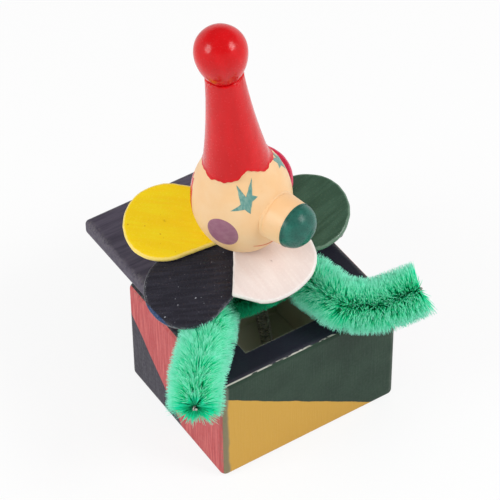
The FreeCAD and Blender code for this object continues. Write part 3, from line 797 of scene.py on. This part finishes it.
peg = []
for step in range(PEG_STEPS + 1):
    height = TEAL_START * step / PEG_STEPS
    peg.append((nose_radius(height), height + PEG_UNDER_TEAL * (step == PEG_STEPS)))
peg_points = spun(peg)
nose_piece = new_piece("nose_cream", peg_points, capped(peg_points, len(peg), COLUMNS), flesh,
                       "figure", NOSE)
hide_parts("nose")
dome = [(nose_radius(TEAL_START) + proud, TEAL_START + past) for proud, past in TEAL_EDGE]
for step in range(TEAL_SIDE_STEPS):
    height = TEAL_SIDE_START + (TEAL_SIDE_END - TEAL_SIDE_START) * step / TEAL_SIDE_STEPS
    dome.append((nose_radius(height) + TEAL_PROUD, height))
for step in range(DOME_STEPS):
    turn = math.pi / 2 * step / DOME_STEPS
    dome.append(((NOSE_END + TEAL_PROUD) * math.cos(turn) ** DOME_FULLNESS,
                 DOME_START + (NOSE_TAPER + NOSE_DOME - DOME_START) * math.sin(turn)))
dome_points = spun(dome)
teal = enamel("teal_enamel", "#2a6f61", "#235a4f", roughness=(0.22, 0.4), stretch=(1, 1, 1), brush_mm=2.0)
new_piece("nose_tip_teal", dome_points, capped(dome_points, len(dome), COLUMNS), teal,
          "figure", NOSE)

# %% [markdown]
# ## Painted face
# Eyes, cheeks and mouth are single touches of thin paint. They could be drawn in a texture, but here each is
# a low film of paint laid on the head, so it has an edge: its outline is given in millimetres round a place
# on the face, and the film thins out at its rim.

# %% Eyes, cheeks and mouth
FACE_TURN = math.degrees(NOSE_TURN)
FILM = 0.07
FILM_RINGS = (1.0, 0.94, 0.86, 0.7, 0.5, 0.3, 0.12)


def paint_touch(name, outline, degrees, height, material):
    # Rings of the outline, each smaller, laid on the head about one place
    points = []
    for ring, scale in enumerate(FILM_RINGS):
        lift = 0.0 if ring == 0 else FILM
        for across_mm, up_mm in outline:
            up = height + up_mm * scale
            angle = math.radians(degrees) + across_mm * scale / outline_radius(up)
            points.append(on_head(angle, up, lift + 0.01))
    faces = grid_faces(len(FILM_RINGS), len(outline))
    last = (len(FILM_RINGS) - 1) * len(outline)
    points.append(on_head(math.radians(degrees), height, FILM + 0.01))
    faces += [(last + i, last + (i + 1) % len(outline), len(points) - 1) for i in range(len(outline))]
    return new_piece(name, points, faces, material, "figure", HEAD)


def between(corners, steps):
    # The outline with each straight side divided, and a little tremble of the brush
    line = []
    for i, start in enumerate(corners):
        end = corners[(i + 1) % len(corners)]
        for k in range(steps):
            place = Vector(start).lerp(Vector(end), k / steps)
            line.append(place + Vector((noise.noise(Vector((*place, 3.0)) * 1.7), 0)) * 0.12)
    return line


def mirrored(outline):
    return [(-across_mm, up_mm) for across_mm, up_mm in outline][::-1]


STAR = [(1.8, 4.5), (1.1, 0.7), (2.3, 0.0), (0.8, -0.6), (-0.2, -3.3), (-1.2, -2.0),
        (-4.6, -2.2), (-1.9, -0.7), (-1.9, 3.6), (-0.4, 0.7)]
eye_paint = enamel("eye_teal_paint", "#8fb3a6", "#5a9088", roughness=(0.35, 0.5), brush_mm=0.5,
                   brush_depth=0.03, stretch=(1, 1, 4))
cheek_paint = enamel("cheek_plum_paint", "#a57484", "#945f75", roughness=(0.3, 0.42), brush_depth=0.03)
mouth_paint = enamel("mouth_coral_paint", "#ea8a62", "#dd7048", roughness=(0.3, 0.45), brush_depth=0.02)
EYE_FROM_NOSE = 35
RIGHT_EYE_FARTHER = 17
EYE_HEIGHT = 9.3
star = between(STAR, 6)
paint_touch("eye_left", star, FACE_TURN - EYE_FROM_NOSE, EYE_HEIGHT, eye_paint)
paint_touch("eye_right", mirrored(star), FACE_TURN + EYE_FROM_NOSE + RIGHT_EYE_FARTHER, EYE_HEIGHT, eye_paint)
OVAL_STEPS = 72
CHEEK_FROM_NOSE = 72
CHEEK_HEIGHT = 0.2
CHEEK_HALF_WIDTH = 3.85
CHEEK_HALF_TALL = 4.4
oval = [2 * math.pi * step / OVAL_STEPS for step in range(OVAL_STEPS)]
cheek = [(CHEEK_HALF_WIDTH * math.cos(turn), CHEEK_HALF_TALL * math.sin(turn)) for turn in oval]
paint_touch("cheek_left", cheek, FACE_TURN - CHEEK_FROM_NOSE, CHEEK_HEIGHT, cheek_paint)
paint_touch("cheek_right", cheek, FACE_TURN + CHEEK_FROM_NOSE, CHEEK_HEIGHT, cheek_paint)
HAIR_FROM_NOSE = 143
HAIR_HEIGHT = 0.8
HAIR_HALF_WIDTH = 3.7
HAIR_HALF_TALL = 7
HAIR_RAGGED = 0.5
hair = []
for step, turn in enumerate(oval):
    half_tall = HAIR_HALF_TALL + HAIR_RAGGED * math.sin(step)
    hair.append((HAIR_HALF_WIDTH * math.cos(turn), half_tall * math.sin(turn)))
paint_touch("hair_left", hair, FACE_TURN - HAIR_FROM_NOSE, HAIR_HEIGHT, hat_red)
paint_touch("hair_right", hair, FACE_TURN + HAIR_FROM_NOSE, HAIR_HEIGHT, hat_red)
MOUTH_HALF = 38
MOUTH_HEIGHT = -7.4
MOUTH_SMILE = 0.0016
LIP_HALF = 0.46
MOUTH_STEPS = 60
mouth_points = []
for step in range(MOUTH_STEPS + 1):
    degrees = -MOUTH_HALF + 2 * MOUTH_HALF * step / MOUTH_STEPS
    middle = MOUTH_HEIGHT + MOUTH_SMILE * degrees ** 2
    half = LIP_HALF * math.sqrt(max(0.02, 1 - (degrees / MOUTH_HALF) ** 2))
    for up, proud in ((-half, 0.0), (-half * 0.6, FILM), (half * 0.6, FILM), (half, 0.0)):
        mouth_points.append(on_head(math.radians(FACE_TURN + degrees), middle + up, proud + 0.01))
mouth_faces = [(4 * s + k, 4 * s + k + 4, 4 * s + k + 5, 4 * s + k + 1)
               for s in range(MOUTH_STEPS) for k in range(3)]
new_piece("mouth", mouth_points, mouth_faces, mouth_paint, "figure", HEAD)

# %% [markdown]
# ## Collar discs
# Five wooden discs were painted one by one. The paint pooled on top and ran to the rim, where it stands as
# a soft lip over the bare cream edge of the wood. A bevelled cylinder would be too even, so each disc is
# built of rings whose outline wavers a little, as a sawn and hand-sanded disc does, and is drawn in towards
# the neck.

# %% Discs
PETAL_RADIUS = 10.3
PETAL_DROOP = math.radians(3)
LOWER_LIFT = 0.05
UPPER_LIFT = 2.1
tilt_way = Matrix.Rotation(COLLAR_WAY, 4, "Z")
collar_turn = tilt_way @ Matrix.Rotation(COLLAR_TILT, 4, "Y") @ tilt_way.inverted()
COLLAR = FIGURE @ Matrix.Translation((0, 0, COLLAR_HEIGHT * MM)) @ collar_turn
# Half outline of a disc, out and up: bare wood under a skin of paint that rounds over the rim
WOOD_OUTLINE = [(9.6, 0.0), (9.95, 0.08), (10.1, 0.25), (10.12, 0.4)]
PAINT_OUTLINE = [(10.2, 0.46), (10.28, 0.6), (10.3, 0.9), (10.27, 1.2), (10.15, 1.47), (9.92, 1.66),
                 (9.6, 1.75), (9.2, 1.76)]
TOP_RINGS = 16
TOP_LEVEL = 1.75
DISC_COLUMNS = 192
NECK_CLEAR = 4.5
RIM_WAVER = 0.16
RIM_INSET = 0.12
POOL_DEEP = 0.05
DISC_SINK = 0.03
WHITE_OUTSIDE = 9.5
WHITE_WIDEST = 10.9
WHITE_QUICKNESS = 1.3
# Which way each sawn side of the white disc faces, and how far from its centre it lies
SAWN_FRONT = (-51.7, 10.57)
SAWN_SIDE = (-127.2, 8.98)


def white_radius(angle):
    # Flatter outside, and sawn straight along two sides that meet in a corner beside the navy disc
    degrees = math.degrees(math.remainder(angle, 2 * math.pi))
    swell = math.sin(math.radians(min(90.0, WHITE_QUICKNESS * abs(degrees)))) ** 2
    radius = WHITE_OUTSIDE + (WHITE_WIDEST - WHITE_OUTSIDE) * swell
    if SAWN_SIDE[0] < degrees < SAWN_FRONT[0]:
        radius = SAWN_FRONT[1] / math.cos(math.radians(degrees - SAWN_FRONT[0]))
    if degrees < SAWN_FRONT[0]:
        radius = min(radius, SAWN_SIDE[1] / max(0.1, math.cos(math.radians(degrees - SAWN_SIDE[0]))))
    return radius


def lobe_radius(angle, reach, necks):
    # Round outside, and drawn in towards the middle of the collar between two straight sides
    if necks is None:
        return white_radius(angle)
    turn = math.remainder(angle, 2 * math.pi)
    neck = necks[turn > 0]
    turn = abs(turn)
    corner = Vector((NECK_CLEAR - reach, neck))
    if corner.length < PETAL_RADIUS:
        return PETAL_RADIUS
    leaves_circle = math.atan2(corner.y, corner.x) - math.acos(PETAL_RADIUS / corner.length)
    if turn <= leaves_circle:
        return PETAL_RADIUS
    return min(PETAL_RADIUS / math.cos(turn - leaves_circle), corner.x / math.cos(turn))


def disc(name, degrees, reach, lift, necks, material, seed):
    points = []
    top = [(PAINT_OUTLINE[-1][0] * (1 - (i + 1) / TOP_RINGS) + 0.05, TOP_LEVEL) for i in range(TOP_RINGS)]
    rings = WOOD_OUTLINE + PAINT_OUTLINE + top
    for ring, (radius, height) in enumerate(rings):
        painted = 9 * (ring >= len(WOOD_OUTLINE))
        for column in range(DISC_COLUMNS):
            angle = 2 * math.pi * column / DISC_COLUMNS
            way = Vector((math.cos(angle), math.sin(angle), 0))
            waver = noise.noise(way * 1.6 + Vector((seed, 0, painted)))
            waver += 0.5 * noise.noise(way * 6 + Vector((seed, 5, painted)))
            scale = lobe_radius(angle, reach, necks) / PETAL_RADIUS
            out = way * (radius * scale + RIM_WAVER * waver * min(1.0, radius / 9) - RIM_INSET)
            pool = POOL_DEEP * noise.noise(out * 0.35 + Vector((0, 0, seed))) if height > 1.6 else 0.0
            points.append(out + Vector((0, 0, height + pool - DISC_SINK)))
    faces = capped(points, len(rings), DISC_COLUMNS)
    place = (COLLAR @ Matrix.Rotation(math.radians(degrees), 4, "Z") @ Matrix.Rotation(PETAL_DROOP, 4, "Y")
             @ Matrix.Translation(Vector((reach, 0, lift)) * MM))
    piece = new_piece("disc_" + name, points, faces, material, "figure", place)
    rim = piece.data.attributes.new("rim", "FLOAT", "POINT")
    rim.data.foreach_set("value", [radius for radius, _ in rings for _ in range(DISC_COLUMNS)] + [0.0, 0.0])
    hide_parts("petal_" + name)


RIM_PAINT = 9.9
NAVY_RIM_HIGHLIGHT_FROM = 10.35
EDGE_LEVEL = 0.5
yellow = enamel("yellow_enamel", "#ffe41c", "#ffd814", "#fbe079", RIM_PAINT, EDGE_LEVEL, brush_depth=0.05,
                specks="#d8a21a")
# Navy: its pale rim colour is a painted highlight along the rounded rim, mixed with chips
navy = enamel("navy_enamel", "#34333d", "#25242c", "#7d828c", NAVY_RIM_HIGHLIGHT_FROM, EDGE_LEVEL, brush_mm=0.7,
              brush_depth=0.4, turn=140, specks="#9a9ba3", scuff=("#22406a", 9.5))
white_paint = enamel("white_enamel", "#eee2dd", "#e8d9d4", "#f1e9e4", RIM_PAINT, EDGE_LEVEL,
                     brush_depth=0.04)
green = enamel("green_enamel", "#466552", "#395543", "#6a8672", RIM_PAINT, EDGE_LEVEL, brush_depth=0.14,
               turn=20)
crimson = enamel("crimson_enamel", "#d62d4c", "#bf2441", "#dd5a72", RIM_PAINT, EDGE_LEVEL)
disc("navy", 187, 19, LOWER_LIFT, (8, 8), navy, 1)
disc("green", 347.6, 15.1, LOWER_LIFT, (6, 6), green, 2)
disc("yellow", 134.2, 19.5, UPPER_LIFT, (9.5, 3), yellow, 3)
disc("white", 271, 9.6, UPPER_LIFT, None, white_paint, 4)
disc("crimson", 51.8, 13.5, UPPER_LIFT, (8, 8), crimson, 5)

# %% [markdown]
# ## Chenille arms
# A jumbo chenille stem is two wires twisted together with a deep pile of fine fibres caught between them.
# Particle hair would look right, but it isn't a mesh, so each fibre is a thin tapered spike of its own,
# drawn thicker than the real one so that it shows. They stand out all round the wire, lean a little in tufts
# and are cut short where they press on the box or the discs.

# %% Stem line
LEFT_ARM = [(-34.9, -25.5, 34.5), (-29.5, -17.9, 36.6), (-21.6, -10, 36.6)]
NECK_LOOP = [(-6.15, 8.4, 41.5), (2.85, 8.4, 41.5)]
RIGHT_ARM = [(9.8, -19.9, 38.7), (16.3, -25.2, 39.2), (25.9, -29, 43)]
FRONT_TURN = [(-13.5, -4.5, 39.2), (-8, -6.6, 40.4), (-2, -7, 40.8), (4, -5, 40.6)]


def smooth_line(bends):
    # A smooth line led by the stem's bends, with the distance travelled at each point
    data = bpy.data.curves.new("stem_line", "CURVE")
    data.dimensions = "3D"
    spline = data.splines.new("NURBS")
    bends = [Vector(place) for place in bends]
    route = [bends[0]]
    for before, after in zip(bends, bends[1:]):
        route += [before.lerp(after, 1 / 3), before.lerp(after, 2 / 3), after]
    spline.points.add(len(route) - 1)
    for point, place in zip(spline.points, route):
        point.co = (*place, 1)
    spline.order_u = 3
    spline.use_endpoint_u = True
    spline.resolution_u = 16
    holder = bpy.data.objects.new("stem_line", data)
    mesh = bpy.data.meshes.new_from_object(holder)
    line = [vertex.co.copy() for vertex in mesh.vertices]
    bpy.data.objects.remove(holder)
    bpy.data.meshes.remove(mesh)
    bpy.data.curves.remove(data)
    travelled = [0.0]
    for before, after in zip(line, line[1:]):
        travelled.append(travelled[-1] + (after - before).length)
    return line, travelled


stem = smooth_line(LEFT_ARM + NECK_LOOP + RIGHT_ARM)
front_turn = smooth_line(FRONT_TURN)
STEM_LENGTH = stem[1][-1]


def along(route, distance):
    # Place and direction at that distance from the route's first point
    line, travelled = route
    distance = min(max(distance, 0.0), travelled[-1] - 1e-6)
    index = next(i for i in range(1, len(travelled)) if travelled[i] >= distance)
    share = (distance - travelled[index - 1]) / (travelled[index] - travelled[index - 1])
    way = (line[index] - line[index - 1]).normalized()
    return line[index - 1].lerp(line[index], share), way


print("stem:", round(STEM_LENGTH, 1), "mm long")

# %% Chenille finishes
# Dyed viscose pile, with painted light along each fibre: painted shade of deep green at the wire, where the
# pile shades itself, and a painted highlight of pale mint at the cut tips
fibre_finish, tree, shader, place = new_finish("chenille_fibre", Roughness=0.7, IOR=1.3)
reach = add(tree, "Attribute", output="Fac", attribute_name="reach")
tint = add(tree, "Attribute", output="Fac", attribute_name="tint")
# Ramp stops: the dark root green is painted shade, and the pale mint tip is a painted highlight
colour = "#02744a"
for low, high, further in ((0.1, 0.3, "#06d897"), (0.3, 0.6, "#0cfac0"), (0.6, 1.0, "#a6ffe4")):
    outer = add(tree, "MapRange", [reach, low, high], **SMOOTH)
    colour = add(tree, "Mix", {FACTOR: outer, FROM: colour, TO: further}, **COLOURS)
tint_share = add(tree, "Math", [tint, 0.25], operation="MULTIPLY")
colour = add(tree, "Mix", {FACTOR: tint_share, FROM: colour, TO: "#0ef0b0"}, **COLOURS)
connect(shader, Base_Color=colour)

# The dense heart of the pile is the same viscose, seen only as a dull green between the fibres
HEART_MOTTLE_MM = 0.6
heart_finish, tree, shader, place = new_finish("chenille_heart", Roughness=0.9)
mottle = add(tree, "TexNoise", {"Vector": place, "Scale": 1 / HEART_MOTTLE_MM, "Detail": 3.0})
colour = add(tree, "Mix", {FACTOR: mottle, FROM: "#06b070", TO: "#0cd08c"}, **COLOURS)
connect(shader, Base_Color=colour)
print(fibre_finish.name, "and", heart_finish.name)

# %% Fibres
PILE_RADIUS = 7.0
WRAP_PILE = 6.6
FRONT_PILE = 4.8
# Painted shade: the front pile under the white disc is held to the dark root end of the colour ramp
UNDER_DISC_LIGHT = 0.2
ARM_SHARE_LEFT = 0.29
ARM_SHARE_RIGHT = 0.70
FIBRES_PER_MM = 420
WRAP_FIBRES_PER_MM = 260
FIBRE_ROOT = 0.11
FIBRE_TIP = 0.03
CLEAR = 0.25
SPLAY = math.radians(8)
SPLAY_LENGTH = 3.0
TIP_BARE = 1.0
STRAY_LEAN = 0.10
TUFT_LEAN = 0.2
TUFT_CURL = 0.10
LENGTH_RANGE = (0.86, 1.03)
ROOT_CLEAR = 0.7
SHORTEST = 0.8
# Both sources of chance start from the same seed, so every run grows the same pile
SEED = 7
random.seed(SEED)
noise.seed_set(SEED)
STAYING = ["front_wall", "back_wall", "left_wall", "right_wall", "lid", "neck_plug", "spring"]
RIDING = ["neck_dowel", "collar_hub", "petal_navy", "petal_green", "petal_yellow", "petal_white",
          "petal_crimson"]
PLUG_SWELL = 1.25
ROCK_LIMIT = math.radians(10)
rocked = Matrix.Translation(PIVOT) @ Matrix.Rotation(-ROCK_LIMIT, 4, "X") @ Matrix.Translation(-PIVOT)
rocked_way = rocked.to_3x3()


def room_finder(node_name):
    # The node's surface, and the small plug a little swollen, because fibres curl and brush past it
    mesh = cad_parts[node_name].data
    places = [vertex.co / MM for vertex in mesh.vertices]
    if node_name == "neck_plug":
        middle = sum(places, Vector()) / len(places)
        places = [middle + (place - middle) * PLUG_SWELL for place in places]
    return BVHTree.FromPolygons(places, [tuple(p.vertices) for p in mesh.polygons])


staying = [room_finder(node_name) for node_name in STAYING]
riding = [room_finder(node_name) for node_name in RIDING]


def free_length(root, way, wanted):
    # Room ahead of a fibre at rest, and with the figure rocked back to its limit
    lengths = [wanted]
    for pieces, start, ahead in ((staying + riding, root, way), (staying, rocked @ root, rocked_way @ way)):
        for piece in pieces:
            hit = piece.ray_cast(start, ahead, wanted + CLEAR)[3]
            if hit is not None:
                lengths.append(hit - CLEAR)
    return min(lengths)


def fibres(name, route, start, end, pile, per_mm, splay_start=False, splay_end=False, light=1.0):
    points, faces, reach_and_shade, tints = [], [], [], []
    for _ in range(int((end - start) * per_mm)):
        distance = random.uniform(start, end)
        root, ahead = along(route, distance)
        side = ahead.orthogonal().normalized()
        turn = random.uniform(0, 2 * math.pi)
        out = side * math.cos(turn) + ahead.cross(side) * math.sin(turn)
        tuft = noise.noise_vector((root + out * 4) * 0.45)
        lean = random.gauss(0, STRAY_LEAN)
        if splay_start and distance - start < SPLAY_LENGTH:
            lean -= math.tan(SPLAY) * (1 - (distance - start) / SPLAY_LENGTH)
        if splay_end and end - distance < SPLAY_LENGTH:
            lean += math.tan(SPLAY) * (1 - (end - distance) / SPLAY_LENGTH)
        way = (out + ahead * lean + tuft * TUFT_LEAN).normalized()
        wanted = pile * random.uniform(*LENGTH_RANGE)
        length = free_length(root + way * ROOT_CLEAR, way, wanted)
        if length < SHORTEST:
            continue
        curl = tuft.cross(way) * TUFT_CURL * length
        across_fibre = way.orthogonal().normalized()
        beside_fibre = way.cross(across_fibre)
        first = len(points)
        for share, width in ((0.05, FIBRE_ROOT), (0.6, FIBRE_ROOT * 0.8), (1.0, FIBRE_TIP)):
            middle = root + way * length * share + curl * share ** 2
            for k in range(3):
                angle = 2 * math.pi * k / 3
                aside = across_fibre * math.cos(angle) + beside_fibre * math.sin(angle)
                points.append(middle + aside * width)
                # Share of the fibre's length times its light: the colour ramp darkens the root as painted
                # shade
                reach_and_shade.append(share * length / pile * light)
                tints.append(0.0)
        tints[first:] = [random.random()] * 9
        for ring in (0, 3):
            for k in range(3):
                a, b = first + ring + k, first + ring + (k + 1) % 3
                faces.append((a, b, b + 3, a + 3))
        faces.append((first + 2, first + 1, first))
        faces.append((first + 6, first + 7, first + 8))
    piece = new_piece(name, points, faces, fibre_finish, "figure")
    for attribute_name, values in (("reach", reach_and_shade), ("tint", tints)):
        attribute = piece.data.attributes.new(attribute_name, "FLOAT", "POINT")
        attribute.data.foreach_set("value", values)
    print(name, len(points) // 9, "fibres")
    return piece


left_end = STEM_LENGTH * ARM_SHARE_LEFT
right_start = STEM_LENGTH * ARM_SHARE_RIGHT
pile_left = fibres("pile_left", stem, TIP_BARE, left_end, PILE_RADIUS, FIBRES_PER_MM, splay_start=True)
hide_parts("arm_left")
pile_wrap = fibres("pile_wrap", stem, left_end, right_start, WRAP_PILE, WRAP_FIBRES_PER_MM)
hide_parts("arm_wrap")
pile_right = fibres("pile_right", stem, right_start, STEM_LENGTH - TIP_BARE, PILE_RADIUS, FIBRES_PER_MM,
                    splay_end=True)
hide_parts("arm_right")
fibres("pile_front", front_turn, 0, front_turn[1][-1], FRONT_PILE, FIBRES_PER_MM, light=UNDER_DISC_LIGHT)

# %% Dense heart of the pile
CORE_RADIUS = 2.3
CORE_SIDES = 12
CORE_STEPS = 240
CORE_BARE_STEPS = 4
core_line = [along(stem, STEM_LENGTH * i / CORE_STEPS)[0] for i in range(CORE_BARE_STEPS, CORE_STEPS - 3)]
core_points = tube_points(core_line, CORE_RADIUS, CORE_SIDES)
new_piece("pile_heart", core_points, capped(core_points, len(core_line), CORE_SIDES), heart_finish,
          "figure")

# %% Twisted wire
STRAND_RADIUS = 0.3
STRAND_OFFSET = 0.3
TWIST_MM = 3.2
STRAND_STEP = 0.25
STRAND_SIDES = 6
strand_steps = int(STEM_LENGTH / STRAND_STEP)
wire_points, wire_faces = [], []
for phase in (0.0, math.pi):
    strand = []
    for step in range(strand_steps + 1):
        distance = STEM_LENGTH * step / strand_steps
        middle, ahead = along(stem, distance)
        side = ahead.orthogonal().normalized()
        turn = 2 * math.pi * distance / TWIST_MM + phase
        strand.append(middle + (side * math.cos(turn) + ahead.cross(side) * math.sin(turn)) * STRAND_OFFSET)
    tube = tube_points(strand, STRAND_RADIUS, STRAND_SIDES)
    tube_faces = capped(tube, len(strand), STRAND_SIDES)
    wire_faces += [tuple(i + len(wire_points) for i in face) for face in tube_faces]
    wire_points += tube
wire_piece = new_piece("twisted_wire", wire_points, wire_faces, steel, "figure")
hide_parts("arm_wire")
